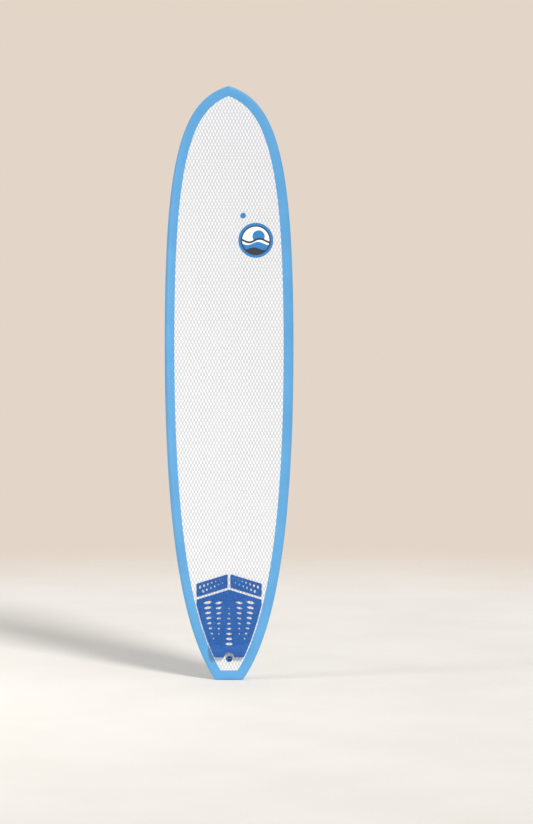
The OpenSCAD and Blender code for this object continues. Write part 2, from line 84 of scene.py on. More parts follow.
# %% Heights: rocker bends the bottom, foil thins the board
def rocker(z):
    if z > FLAT_Z:
        return NOSE_ROCKER * ((z - FLAT_Z) / (BOARD_L - FLAT_Z)) ** 3
    return TAIL_ROCKER * ((FLAT_Z - z) / FLAT_Z) ** 2.5


def thick(z):
    if z > THICK_Z:
        return BOARD_T - (BOARD_T - NOSE_T) * ((z - THICK_Z) / (BOARD_L - THICK_Z)) ** 3
    return BOARD_T - (BOARD_T - TAIL_T) * ((THICK_Z - z) / THICK_Z) ** 3


def bottom_y(z):
    return TAIL_ROCKER + END_H - rocker(z)


def deck_y(z):
    return bottom_y(z) - thick(z)


print("thickest", round(thick(THICK_Z), 4), "m, deck of the nose at y", round(deck_y(BOARD_L), 4))


# %% Plan curves: the nose and the sides are Bezier curves, as in the CAD source
def bezier(p, u):
    v = 1 - u
    return p[0] * v ** 3 + p[1] * 3 * u * v * v + p[2] * 3 * u * u * v + p[3] * u ** 3


def outward(p, u):
    v = 1 - u
    along = (p[1] - p[0]) * v * v + (p[2] - p[1]) * 2 * u * v + (p[3] - p[2]) * u * u
    return Vector((-along.y, along.x)).normalized()


HALF_W = BOARD_W / 2
SIDE_DIR = Vector((math.sin(TAIL_ANGLE), math.cos(TAIL_ANGLE)))
SIDE_OUT = Vector((math.cos(TAIL_ANGLE), -math.sin(TAIL_ANGLE)))
CORNER = Vector((TAIL_W / 2, 0))
CORNER_RUN = CORNER_R * math.tan((math.pi / 2 - TAIL_ANGLE) / 2)
TAIL_FLAT = TAIL_W / 2 - CORNER_RUN
NOSE = [Vector((0, BOARD_L)), Vector((NOSE_ROUND, BOARD_L - NOSE_POINT)),
        Vector((HALF_W, WIDE_Z + NOSE_FULL * (BOARD_L - WIDE_Z))), Vector((HALF_W, WIDE_Z))]
SIDE = [Vector((HALF_W, WIDE_Z)), Vector((HALF_W, WIDE_Z * (1 - TAIL_FULL))),
        CORNER + SIDE_DIR * TAIL_DRAW, CORNER + SIDE_DIR * CORNER_RUN]
INNER_CORNER = (CORNER - SIDE_OUT * BAND
                + SIDE_DIR * (BAND * (1 - math.sin(TAIL_ANGLE)) / math.cos(TAIL_ANGLE)))
LEAD = 0.004                             # spacing of the last stations before the inner corner


def nose_in(u):
    n = outward(NOSE, u)
    n.x *= 1 - (1 - min(1, u / 0.2)) ** 2
    return bezier(NOSE, u) - n.normalized() * BAND


def side_in(u):
    return bezier(SIDE, u) - outward(SIDE, u) * BAND


def last_side_u():
    low, high = 0.5, 1.0
    for _ in range(40):
        middle = (low + high) / 2
        if side_in(middle).y > INNER_CORNER.y + 2 * LEAD * SIDE_DIR.y:
            low = middle
        else:
            high = middle
    return low


LAST_U = last_side_u()
print("the band's inner corner is at", tuple(INNER_CORNER))

# %% [markdown]
# ## Stations round the board
# A station is a pair of plan points: one on the outline and one on the edge of the deck foam.
# The skins are strung from station to station, so neighbours share their edges exactly.

# %% Stations from the nose tip round to the middle of the tail
NOSE_STEPS, SIDE_STEPS, TAIL_STEPS = 56, 60, 4
COLUMNS = 5 * TAIL_STEPS                 # columns from the centreline to the band


def tail_station(w):
    """Stations on the tail's corner and flat end: w runs from 0 at the side to 7 at the middle."""
    angle = -TAIL_ANGLE - (math.pi / 2 - TAIL_ANGLE) * min(w, 4) / 4
    out = Vector((TAIL_FLAT + CORNER_R * math.cos(angle), CORNER_R * (1 + math.sin(angle))))
    if w > 4:
        out = Vector((TAIL_FLAT * (7 - w) / 3, 0))
    lead = side_in(LAST_U)
    if w < 1:
        return out, lead.lerp(INNER_CORNER + SIDE_DIR * LEAD, w)
    if w < 2:
        return out, (INNER_CORNER + SIDE_DIR * LEAD).lerp(INNER_CORNER, w - 1)
    return out, Vector((INNER_CORNER.x * (7 - w) / 5, BAND))


def make_stations():
    found = []
    for i in range(NOSE_STEPS + 1):
        u = (i / NOSE_STEPS) ** 1.3
        found.append((bezier(NOSE, u), nose_in(u) if i else Vector((0, BOARD_L - BAND))))
    for i in range(1, SIDE_STEPS + 1):
        u = i / SIDE_STEPS
        found.append((bezier(SIDE, u), side_in(u - (1 - LAST_U) * u ** 6)))
    found += [tail_station(w / TAIL_STEPS) for w in range(1, 7 * TAIL_STEPS + 1)]
    return found


STATIONS = make_stations()
ROWS = NOSE_STEPS + SIDE_STEPS + 2 * TAIL_STEPS      # the deck foam's last row
RING = len(STATIONS) - 1
print(RING + 1, "stations,", ROWS + 1, "of them along the deck")


# %% Points on the deck, on the bottom and on the band between them
def deck_height(x, row):
    edge = row.x / (row.x + BAND)
    share = x / row.x if row.x > 0 else 0
    return thick(row.y) * (1 - DOME * (edge * share) ** 2)


def deck_point(i, share, sunk=0.0):
    row = STATIONS[i][1]
    x = row.x * share
    return Vector((x, bottom_y(row.y) - deck_height(x, row) + sunk, row.y))


def band_point(s, depth, height):
    """A point at station s, depth in from the outline; a negative station is on the left."""
    out, inner = STATIONS[abs(s)]
    plan = inner + (out - inner) * (1 - depth / BAND)
    return Vector((plan.x if s >= 0 else -plan.x, bottom_y(plan.y) - height, plan.y))


def rim_height(s):
    inner = STATIONS[abs(s)][1]
    return deck_height(inner.x, STATIONS[ROWS][1] if abs(s) > ROWS else inner)


def rim_fall(s):
    out, inner = STATIONS[abs(s)]
    away = (out - inner) / BAND
    slope = (thick(inner.y + 0.001) - thick(inner.y - 0.001)) / 0.002
    return slope * away.y - 2 * DOME * thick(inner.y) * inner.x / (inner.x + BAND) ** 2 * away.x


def rail_section(s, side, top, steps):
    """The rail's curve from the deck's edge round to the trim, sunk by side and by top."""
    high = rim_height(s) - top
    upright = TRIM_H + RAIL_WALL * (rim_height(s) - TRIM_H)
    reach = (BAND - side) / 2
    curve = [Vector((BAND, high)), Vector((BAND - reach, high + rim_fall(s) * reach)),
             Vector((side, upright + 0.6 * (high - upright))), Vector((side, upright))]
    return [bezier(curve, e / steps) for e in range(steps + 1)] + [Vector((side, TRIM_H))]


print("rim height at the widest station", round(rim_height(NOSE_STEPS), 4))


# %% [markdown]
# ## Helpers
# An operator acts on whatever is selected, so every step starts from an empty selection.
# These few helpers keep the later cells short: lay a grid, apply a modifier, close a shell.

# %% Selecting, applying modifiers and cleaning a mesh
def pick(piece):
    bpy.ops.object.select_all(action="DESELECT")
    piece.select_set(True)
    bpy.context.view_layer.objects.active = piece


def edit(piece, *steps):
    """Runs mesh operators, given as (operator, settings) pairs, on the whole mesh."""
    pick(piece)
    bpy.ops.object.mode_set(mode="EDIT")
    for operator, settings in steps:
        bpy.ops.mesh.select_all(action="SELECT")
        operator(**settings)
    bpy.ops.object.mode_set(mode="OBJECT")
    return piece


def modify(piece, kind, **settings):
    pick(piece)
    modifier = piece.modifiers.new(kind.lower(), kind)
    for name, value in settings.items():
        setattr(modifier, name, value)
    bpy.ops.object.modifier_apply(modifier=modifier.name)
    return piece


def smooth(piece, degrees=35):
    pick(piece)
    bpy.ops.object.shade_smooth_by_angle(angle=math.radians(degrees))
    return piece


MERGE = (bpy.ops.mesh.remove_doubles, {"threshold": 0.00002})
FACE_OUT = (bpy.ops.mesh.normals_make_consistent, {"inside": False})
TURN_OVER = (bpy.ops.mesh.flip_normals, {})


# %% Laying a flat grid over one of the board's surfaces
def lay_grid(name, along, across, place):
    """A flat grid whose corner (i, k) is carried to place(i, k)."""
    bpy.ops.object.select_all(action="DESELECT")
    bpy.ops.mesh.primitive_grid_add(x_subdivisions=along, y_subdivisions=across, size=2)
    piece = bpy.context.object
    piece.name = piece.data.name = name
    for corner in piece.data.vertices:
        i = round((corner.co.x + 1) / 2 * along)
        k = round((corner.co.y + 1) / 2 * across)
        corner.co = place(i, k)
    return piece


def face_towards(piece, direction):
    """Turns an open sheet over if its faces look away from direction."""
    total = sum((face.normal * face.area for face in piece.data.polygons), Vector())
    if total.dot(Vector(direction)) < 0:
        edit(piece, TURN_OVER)
    return piece


def fit_out(piece, body, slot, *replaced):
    """Puts a finished piece on its body and hides the CAD nodes that it stands for."""
    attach(piece, body)
    if replaced:
        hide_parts(*replaced)
    print(piece.name, "has", len(piece.data.polygons), "faces")
    return piece


# %% [markdown]
# ## Deck foam
# The deck of a soft-top is a 5 mm sheet of closed-cell foam, laid over the domed deck.
# A sculpted block could give the dome, but a grid that is laid on the deck's own curves
# meets the rail foam exactly. Solidify then gives the sheet its thickness, and a small bevel
# softens the cut edge, which leaves the fine seam that shows between deck and rail.

# %% Lay the deck foam
CUT_EDGE = 0.0009                        # bevel left on a cut edge of foam
deck_foam = lay_grid("deck_foam", ROWS, 2 * COLUMNS, lambda i, k: deck_point(i, k / COLUMNS - 1))
edit(deck_foam, MERGE)
face_towards(deck_foam, (0, -1, 0))
modify(deck_foam, "SOLIDIFY", thickness=SKIN_T, offset=-1, use_even_offset=False)
modify(deck_foam, "BEVEL", width=CUT_EDGE, segments=2, limit_method="ANGLE",
       angle_limit=math.radians(50))
print("deck foam", len(deck_foam.data.polygons), "faces")

# %% [markdown]
# ## Rail foam
# The rails are wrapped in a second, coloured foam. Its section changes all the way round, from
# a thin nose to full sides, so a plain sweep along a path would not fit. A grid with one row
# per station and one column per point of the section is closed into a ring, like a long tube.

# %% Wrap the rail foam round the board
RAIL_STEPS = 14


def rail_ring(s):
    inner = [band_point(s, p.x, p.y) for p in rail_section(s, RAIL_T, SKIN_T, RAIL_STEPS)]
    outer = [band_point(s, p.x, p.y) for p in rail_section(s, 0, 0, RAIL_STEPS)]
    return outer + inner[::-1] + outer[:1]


rail_rings = [rail_ring(s) for s in range(-RING, RING + 1)]
rail_foam = lay_grid("rail_foam", 2 * RING, len(rail_rings[0]) - 1,
                     lambda i, k: rail_rings[i][k])
edit(rail_foam, MERGE, FACE_OUT)
modify(rail_foam, "BEVEL", width=CUT_EDGE, segments=2, limit_method="ANGLE",
       angle_limit=math.radians(60))
smooth(rail_foam)
fit_out(rail_foam, "board", "rail_foam", "rail_band")

# %% [markdown]
# ## Slick bottom
# The bottom is a hard, shiny sheet, flat across and slightly raised towards its edge. One grid
# covers it from rail to rail, and a second, narrow one covers the strip along the tail's end.
# They are joined and merged, so the sheet has no seam.

# %% Lay the slick sheet
RIM_STEPS = 6


def bottom_point(i, k):
    """Across the bottom: in over the left rim, along the flat, and out over the right rim."""
    across = min(k, 2 * (COLUMNS + RIM_STEPS) - k)
    side = -1 if k < COLUMNS + RIM_STEPS else 1
    if across < RIM_STEPS:
        depth = SIDE_T + (BAND - SIDE_T) * across / RIM_STEPS
        point = band_point(i, depth, EDGE_RISE * (1 - depth / BAND) ** 2)
    else:
        row = STATIONS[i][1]
        share = 1 - (across - RIM_STEPS) / COLUMNS
        point = Vector((row.x * share, bottom_y(row.y), row.y))
    return Vector((side * point.x, point.y, point.z))


def tail_strip(i, k):
    s = ROWS + i
    s = s if s <= RING else s - 2 * RING
    depth = SIDE_T + (BAND - SIDE_T) * k / RIM_STEPS
    return band_point(s, depth, EDGE_RISE * (1 - depth / BAND) ** 2)


# a new grid is the one selected piece, so the strip only needs the sheet beside it to join
slick = lay_grid("slick_sheet", ROWS, 2 * (COLUMNS + RIM_STEPS), bottom_point)
lay_grid("slick_tail_strip", 2 * (RING - ROWS), RIM_STEPS, tail_strip)
slick.select_set(True)
bpy.context.view_layer.objects.active = slick
bpy.ops.object.join()
edit(slick, MERGE, FACE_OUT)
face_towards(slick, (0, 1, 0))
modify(slick, "SOLIDIFY", thickness=SLICK_T, offset=-1, use_even_offset=False)
print("slick sheet", len(slick.data.polygons), "faces")

# %% [markdown]
# ## Holes for the fittings
# The fin box and the plugs sit in pockets, so the skins need holes of the same outline.
# Faces could be deleted by hand, but their edges would be ragged. A Boolean with a plain
# cutter of the pocket's size gives a clean edge wherever the grid's lines run.

# %% Cutters that stand on the bottom, as the fittings do
FIT_GAP, CUTTER_T = 0.0002, 0.03         # gap round a fitting, thickness of a cutter
FIN_Z, FIN_L, FIN_W = 0.2755, 0.273, 0.023
PLUG_X, PLUG_Z, LOBE_R, LOBE_PITCH, WAIST_W = 0.1655, 0.469, 0.0195, 0.051, 0.027
LEASH_Z, LEASH_R = 0.0995, 0.0148
UPRIGHT = Matrix.Rotation(math.pi / 2, 4, "X")     # turns a cylinder's axis to Y


def on_bottom(x, z, run):
    """The frame of a fitting: its Y leaves the bottom, its Z runs along the board."""
    slope = math.atan((bottom_y(z + run / 2) - bottom_y(z - run / 2)) / run)
    return Matrix.Translation((x, bottom_y(z), z)) @ Matrix.Rotation(-slope, 4, "X")


def box_cutter(place, width, length):
    bpy.ops.object.select_all(action="DESELECT")
    bpy.ops.mesh.primitive_cube_add(size=1)
    cutter = bpy.context.object
    cutter.data.transform(place @ Matrix.Diagonal((width, CUTTER_T, length, 1)))
    return cutter


def round_cutter(place, radius):
    bpy.ops.object.select_all(action="DESELECT")
    bpy.ops.mesh.primitive_cylinder_add(vertices=96, radius=radius, depth=CUTTER_T)
    cutter = bpy.context.object
    cutter.data.transform(place @ UPRIGHT)
    return cutter


def cut(piece, cutters):
    for cutter in cutters:
        modify(piece, "BOOLEAN", operation="DIFFERENCE", object=cutter, solver="EXACT")
        bpy.data.objects.remove(cutter)
    return piece


# %% Cut the slick sheet for the fin box and the two side plugs
FIN_FRAME = on_bottom(0, FIN_Z, FIN_L)
holes = [box_cutter(FIN_FRAME, FIN_W + 2 * FIT_GAP, FIN_L + 2 * FIT_GAP)]
for side in (-1, 1):
    plug_frame = on_bottom(side * PLUG_X, PLUG_Z, 2 * LOBE_PITCH)
    holes.append(box_cutter(plug_frame, WAIST_W + 2 * FIT_GAP, LOBE_PITCH))
    for end in (-1, 1):
        lobe = plug_frame @ Matrix.Translation((0, 0, end * LOBE_PITCH / 2))
        holes.append(round_cutter(lobe, LOBE_R + FIT_GAP))
cut(slick, holes)
smooth(slick)
fit_out(slick, "board", "slick", "bottom_slick")

# %% Cut the deck foam for the leash plug
leash_frame = Matrix.Translation((0, deck_y(LEASH_Z), LEASH_Z))
cut(deck_foam, [round_cutter(leash_frame, LEASH_R + FIT_GAP)])
smooth(deck_foam)
fit_out(deck_foam, "board", "deck_foam", "deck_skin")

# %% [markdown]
# ## Edge trim
# A dark blue strip closes the edge where the rail foam meets the slick. Its section is a
# quarter of an ellipse, so it is laid like the rail foam: one row per station, closed in a ring.

# %% Run the edge trim round the board
TRIM_STEPS = 8


def trim_ring(s):
    low = EDGE_RISE * (1 - SIDE_T / BAND) ** 2
    arc = [band_point(s, SIDE_T * (1 - math.cos(a)), TRIM_H - (TRIM_H - low) * math.sin(a))
           for a in (math.pi / 2 * e / TRIM_STEPS for e in range(TRIM_STEPS + 1))]
    return arc + [band_point(s, SIDE_T, TRIM_H), arc[0]]


trim_rings = [trim_ring(s) for s in range(-RING, RING + 1)]
trim = lay_grid("edge_strip", 2 * RING, len(trim_rings[0]) - 1, lambda i, k: trim_rings[i][k])
edit(trim, MERGE, FACE_OUT)
modify(trim, "BEVEL", width=0.0005, segments=2, limit_method="ANGLE",
       angle_limit=math.radians(60))
smooth(trim)
fit_out(trim, "board", "edge_trim", "edge_trim")

# %% [markdown]
# ## Tail pad
# The tail pad is die-cut foam rubber in three pieces, with rows of holes, a raised kick and
# fine grooves for grip. The CAD solids have the outlines and the holes, so a copy of each is
# remeshed into small even faces, which rounds every cut edge a little, as a knife leaves foam.
# The grooves are then pressed in as real shape: each point of the top sinks where a line of
# the diamond lattice passes over it.

# %% Copying a CAD node into a piece of its own
def copy_node(node, name):
    """A copy of a CAD node's mesh with its loose triangles merged into one skin."""
    pick(nodes[node])
    bpy.ops.object.duplicate()
    piece = bpy.context.object
    bpy.ops.object.parent_clear(type="CLEAR_KEEP_TRANSFORM")
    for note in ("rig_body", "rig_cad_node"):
        del piece[note]
    piece.name = piece.data.name = name
    return edit(piece, MERGE, (bpy.ops.mesh.dissolve_limited, {"angle_limit": math.radians(0.5)}))


# %% Remesh the pads and press the grooves
VOXEL = 0.0015
RIB_PITCH, GROOVE_PITCH = 0.011, 0.0095
GROOVE_W, GROOVE_D = 0.0028, 0.0011
SLANT_STEP, SLANT_THIN = 1.6, 1.15       # slanted grooves stand wider apart and are thinner
FACING_OUT = -0.55                       # a pad's face whose normal's Y is below this gets grooves
PAD_END, KICK_L, RAMP_L = 0.109, 0.024, 0.028
RAMP_Z = PAD_END + KICK_L + RAMP_L


def line_depth(distance, width):
    """A rounded groove: deepest on its line and gone at half its width."""
    share = min(1, abs(distance) / (width / 2))
    return (1 - share * share) ** 2


def to_line(steps):
    """How far a place is from the nearest line, in steps of the lines' pitch."""
    return (steps + 0.5) % 1 - 0.5


def groove(x, z):
    if z < RAMP_Z:                       # upright ribs on the kick and its ramp
        return line_depth(to_line(x / RIB_PITCH), GROOVE_W / RIB_PITCH)
    u, v = (x + z) / GROOVE_PITCH / SLANT_STEP, (x - z) / GROOVE_PITCH / SLANT_STEP
    share = GROOVE_W / GROOVE_PITCH / SLANT_THIN
    return max(line_depth(to_line(u), share), line_depth(to_line(v), share))


def make_pad(node, name):
    pad = copy_node(node, name)
    modify(pad, "REMESH", mode="VOXEL", voxel_size=VOXEL, use_smooth_shade=True)
    modify(pad, "SMOOTH", factor=0.5, iterations=2)
    normals = [corner.normal.y for corner in pad.data.vertices]
    for corner, facing in zip(pad.data.vertices, normals):
        if facing < FACING_OUT:
            corner.co.y += GROOVE_D * groove(corner.co.x, corner.co.z)
    smooth(pad, 60)
    fit_out(pad, "board", "pad_eva", node)
    return pad


pads = [make_pad(node, node.replace("pad", "grip")) for node in
        ("pad_bar_left", "pad_bar_right", "pad_main")]

# %% [markdown]
# ## Fittings
# The fin box, the plugs and the screws have their true shape in CAD. Moulded and turned parts
# never have razor edges, though, so each gets a copy with a small rounded edge, and the copy
# rides on the same body as the node it stands for.

# %% Round the edges of the plastic and metal parts
def round_edges(node, name, body, slot, width):
    part = copy_node(node, name)
    modify(part, "BEVEL", width=width, segments=3, limit_method="ANGLE",
           angle_limit=math.radians(40))
    smooth(part, 30)
    return fit_out(part, body, slot, node)


moulded = [round_edges("fin_box", "centre_fin_box", "board", "plug_plastic", 0.0004),
           round_edges("side_plug_left", "fin_plug_left", "board", "plug_plastic", 0.0004),
           round_edges("side_plug_right", "fin_plug_right", "board", "plug_plastic", 0.0004)]
leash_cup = round_edges("leash_plug", "leash_cup", "board", "leash_plastic", 0.0004)
plate = round_edges("fin_plate", "slide_plate", "fin_plate", "brass", 0.0002)
steel_parts = [round_edges("leash_pin", "leash_bar", "board", "steel", 0.0003),
               round_edges("fin_screw", "plate_screw", "fin_screw", "steel", 0.0002)]
for name in ("left_front", "left_rear", "right_front", "right_rear"):
    steel_parts.append(round_edges("grub_" + name, "pinch_screw_" + name, "grub_" + name,
                                   "steel", 0.00015))

# %% [markdown]
# ## Building materials from nodes
# A finish is a small network of nodes. Typing each node by hand soon gets long, so a few
# helpers add a node, link a value to it and hand back what it puts out.

# %% Node helpers
def paint(red, green, blue):
    """A colour as seen on screen, 0 to 255, as the linear colour that nodes use."""
    def linear(v):
        v /= 255
        return v / 12.92 if v <= 0.04045 else ((v + 0.055) / 1.055) ** 2.4
    return (linear(red), linear(green), linear(blue), 1)


def feed(tree, socket, value):
    """Links a node's output to a socket, or sets the socket to a plain value."""
    if isinstance(value, bpy.types.NodeSocket):
        tree.links.new(value, socket)
    elif value is not None:
        socket.default_value = value


def calc(tree, operation, *values, clamp=False):
    node = tree.nodes.new("ShaderNodeMath")
    node.operation, node.use_clamp = operation, clamp
    for socket, value in zip(node.inputs, values):
        feed(tree, socket, value)
    return node.outputs[0]


def ramp(tree, value, low, high, to_low=0.0, to_high=1.0):
    """Eases from to_low to to_high as the value goes from low to high."""
    node = tree.nodes.new("ShaderNodeMapRange")
    node.interpolation_type = "SMOOTHSTEP"
    for name, setting in (("Value", value), ("From Min", low), ("From Max", high),
                          ("To Min", to_low), ("To Max", to_high)):
        feed(tree, node.inputs[name], setting)
    return node.outputs[0]


def blend_colours(tree, share, first, second):
    node = tree.nodes.new("ShaderNodeMix")
    node.data_type = "RGBA"
    feed(tree, node.inputs[0], share)
    feed(tree, node.inputs[6], first)
    feed(tree, node.inputs[7], second)
    return node.outputs[2]


def noise(tree, where, scale, detail=3.0, roughness=0.55):
    node = tree.nodes.new("ShaderNodeTexNoise")
    feed(tree, node.inputs["Vector"], where)
    for name, setting in (("Scale", scale), ("Detail", detail), ("Roughness", roughness)):
        feed(tree, node.inputs[name], setting)
    return node.outputs[0]


def stretch(tree, where, scale=(1, 1, 1), move=(0, 0, 0)):
    node = tree.nodes.new("ShaderNodeMapping")
    feed(tree, node.inputs["Vector"], where)
    node.inputs["Location"].default_value = move
    node.inputs["Scale"].default_value = scale
    return node.outputs[0]


def split(tree, where):
    node = tree.nodes.new("ShaderNodeSeparateXYZ")
    feed(tree, node.inputs[0], where)
    return node.outputs[0], node.outputs[1], node.outputs[2]


def new_group(name, inputs, outputs):
    group = bpy.data.node_groups.new(name, "ShaderNodeTree")
    for label, kind, value in inputs:
        made = group.interface.new_socket(name=label, in_out="INPUT", socket_type=kind)
        if value is not None:
            made.default_value = value
    for label, kind in outputs:
        group.interface.new_socket(name=label, in_out="OUTPUT", socket_type=kind)
    return group, group.nodes.new("NodeGroupInput").outputs, group.nodes.new("NodeGroupOutput").inputs


def place_group(tree, group, **values):
    """Puts a group in a material; a name's underscores stand for spaces."""
    node = tree.nodes.new("ShaderNodeGroup")
    node.node_tree = group
    for name, value in values.items():
        feed(tree, node.inputs[name.replace("_", " ")], value)
    return node.outputs


VALUE, VECTOR, COLOUR = "NodeSocketFloat", "NodeSocketVector", "NodeSocketColor"
print("white is", paint(255, 255, 255))

# %% [markdown]
# ## Effects that several finishes share
# Both faces of the board are pressed with the same small diamond cells, every foam has a fine
# grain, and everything that is handled gets uneven gloss and light scuffs. Each effect is
# built once as a node group, with its sizes as inputs, and placed in each material.

# %% Pressed cells: rounded diamonds in staggered rows
cells, cell_in, cell_out = new_group(
    "pressed cells",
    [("Vector", VECTOR, None), ("Across", VALUE, 0.0153), ("Along", VALUE, 0.0302),
     ("Line start", VALUE, 0.50), ("Line full", VALUE, 0.95)],
    [("Line", VALUE), ("Height", VALUE)])
cell_x, _, cell_z = split(cells, cell_in["Vector"])
step_x = calc(cells, "DIVIDE", cell_x, cell_in["Across"])
step_z = calc(cells, "DIVIDE", cell_z, cell_in["Along"])
lean_a = calc(cells, "MULTIPLY", calc(cells, "PINGPONG", calc(cells, "ADD", step_x, step_z), 0.5), 2)
lean_b = calc(cells, "MULTIPLY",
              calc(cells, "PINGPONG", calc(cells, "SUBTRACT", step_x, step_z), 0.5), 2)
ROUNDNESS = 3.2
round_sum = calc(cells, "ADD", calc(cells, "POWER", lean_a, ROUNDNESS),
                 calc(cells, "POWER", lean_b, ROUNDNESS))
cell_edge = calc(cells, "POWER", round_sum, 1 / ROUNDNESS)
feed(cells, cell_out["Line"], ramp(cells, cell_edge, cell_in["Line start"], cell_in["Line full"]))
feed(cells, cell_out["Height"], ramp(cells, cell_edge, 0.2, 1.0, 1.0, 0.0))

# %% Foam grain: closed cells as fine speckle, and a slower mottle
grain, grain_in, grain_out = new_group(
    "foam grain", [("Vector", VECTOR, None), ("Fineness", VALUE, 900.0)],
    [("Tone", VALUE), ("Height", VALUE)])
pores = grain.nodes.new("ShaderNodeTexVoronoi")
pores.feature = "F1"
feed(grain, pores.inputs["Vector"], grain_in["Vector"])
feed(grain, pores.inputs["Scale"], grain_in["Fineness"])
pore_depth = ramp(grain, pores.outputs["Distance"], 0.0, 0.6)
mottle = noise(grain, grain_in["Vector"], 7.0, 4.0)
speckle = noise(grain, grain_in["Vector"], 420.0, 2.0)
feed(grain, grain_out["Tone"], calc(grain, "ADD", calc(grain, "MULTIPLY", mottle, 0.6),
                                    calc(grain, "MULTIPLY", speckle, 0.4)))
feed(grain, grain_out["Height"], calc(grain, "ADD", calc(grain, "MULTIPLY", pore_depth, 0.7),
                                      calc(grain, "MULTIPLY", speckle, 0.3)))

# %% Handling: uneven gloss, and thin scuffs that run mostly along the board
handling, hand_in, hand_out = new_group(
    "handling", [("Vector", VECTOR, None), ("Amount", VALUE, 0.3)],
    [("Gloss change", VALUE), ("Scuff", VALUE)])
smears = noise(handling, stretch(handling, hand_in["Vector"], (9, 9, 3)), 1.0, 5.0, 0.6)
streaks = noise(handling, stretch(handling, hand_in["Vector"], (260, 260, 14)), 1.0, 2.0)
patches = noise(handling, stretch(handling, hand_in["Vector"], (6, 6, 4), (3, 1, 2)), 1.0, 3.0)
scuff = calc(handling, "MULTIPLY", ramp(handling, streaks, 0.62, 0.78),
             ramp(handling, patches, 0.50, 0.72))
feed(handling, hand_out["Scuff"], calc(handling, "MULTIPLY", scuff, hand_in["Amount"]))
feed(handling, hand_out["Gloss change"],
     calc(handling, "MULTIPLY", calc(handling, "SUBTRACT", smears, 0.5), hand_in["Amount"]))

# %% [markdown]
# ## A round badge
# Boards carry a printed badge on both faces. This one is a plain sun over waves, of no make.
# It could be an image, but masks made by arithmetic stay sharp at any distance: the distance
# from the badge's middle gives the rings, and a sine wave gives the water line.

# %% The badge as a node group
badge, badge_in, badge_out = new_group(
    "sun and wave badge",
    [("Vector", VECTOR, None), ("Middle x", VALUE, 0.0), ("Middle z", VALUE, 0.0),
     ("Radius", VALUE, 0.08)], [("Mask", VALUE), ("Color", COLOUR)])
BADGE_BLUE, BADGE_DARK = paint(8, 120, 184), paint(16, 26, 44)
BADGE_WHITE = paint(246, 249, 251)
print_x, _, print_z = split(badge, badge_in["Vector"])
bx = calc(badge, "DIVIDE", calc(badge, "SUBTRACT", print_x, badge_in["Middle x"]),
          badge_in["Radius"])
bz = calc(badge, "DIVIDE", calc(badge, "SUBTRACT", print_z, badge_in["Middle z"]),
          badge_in["Radius"])


def far_from(x, z):
    """Distance on the badge from the point (x, z), as a share of its radius."""
    across = calc(badge, "SUBTRACT", bx, x)
    along = calc(badge, "SUBTRACT", bz, z)
    return calc(badge, "SQRT", calc(badge, "ADD", calc(badge, "MULTIPLY", across, across),
                                    calc(badge, "MULTIPLY", along, along)))


def under_wave(level, swing, phase):
    crest = calc(badge, "MULTIPLY", calc(badge, "SINE", calc(badge, "ADD", calc(
        badge, "MULTIPLY", bx, 5.2), phase)), swing)
    return ramp(badge, calc(badge, "SUBTRACT", bz, crest), level, level - 0.03)


from_middle = far_from(0, 0)
inside_rim = ramp(badge, from_middle, 0.80, 0.78)
picture = blend_colours(badge, ramp(badge, far_from(0.16, 0.22), 0.36, 0.34),
                        BADGE_WHITE, BADGE_BLUE)
picture = blend_colours(badge, under_wave(0.06, 0.10, 0.4), picture, BADGE_DARK)
picture = blend_colours(badge, under_wave(-0.06, 0.10, 0.4), picture, BADGE_WHITE)
picture = blend_colours(badge, under_wave(-0.16, 0.09, 0.9), picture, BADGE_BLUE)
picture = blend_colours(badge, under_wave(-0.46, 0.07, 2.2), picture, BADGE_DARK)
picture = blend_colours(badge, inside_rim, BADGE_BLUE, picture)
picture = blend_colours(badge, ramp(badge, calc(badge, "ABSOLUTE", calc(
    badge, "SUBTRACT", from_middle, 0.81)), 0.045, 0.030), picture, BADGE_DARK)
dot = ramp(badge, far_from(-0.72, 1.40), 0.17, 0.15)
feed(badge, badge_out["Color"], blend_colours(badge, dot, picture, BADGE_BLUE))
feed(badge, badge_out["Mask"], calc(badge, "MAXIMUM", ramp(badge, from_middle, 1.0, 0.985), dot))


# %% [markdown]
# ## Finishes
# Each material starts from one Principled shader. What is the same all over is set on the
# shader itself; what changes over the surface comes from the groups.

# %% Starting and closing a material
def start_material(name, metallic=0.0, roughness=0.5, **settings):
    material = bpy.data.materials.new(name)
    material.use_nodes = True
    tree = material.node_tree
    shader = tree.nodes["Principled BSDF"]
    shader.inputs["Metallic"].default_value = metallic
    shader.inputs["Roughness"].default_value = roughness
    for label, value in settings.items():
        shader.inputs[label.replace("_", " ")].default_value = value
    where = tree.nodes.new("ShaderNodeTexCoord").outputs["Object"]
    return material, tree, shader, where


def emboss(tree, shader, *layers):
    """Bumps laid over each other: each is a height from 0 to 1 and its depth in metres."""
    normal = None
    for height, depth in layers:
        bump = tree.nodes.new("ShaderNodeBump")
        bump.inputs["Distance"].default_value = depth
        bump.inputs["Strength"].default_value = 1.0
        feed(tree, bump.inputs["Height"], height)
        feed(tree, bump.inputs["Normal"], normal)
        normal = bump.outputs[0]
    feed(tree, shader.inputs["Normal"], normal)


def wear_rough(tree, shader, where, base, amount):
    """Roughness that varies with handling; scuffs are rougher."""
    worn = place_group(tree, handling, Vector=where, Amount=amount)
    rough = calc(tree, "ADD", calc(tree, "ADD", worn["Gloss change"], base), worn["Scuff"],
                 clamp=True)
    feed(tree, shader.inputs["Roughness"], rough)
    return worn["Scuff"]


def cover(material, *pieces):
    for piece in pieces:
        piece.data.materials.clear()
        piece.data.materials.append(material)
    print(material.name, "on", len(pieces), "pieces")


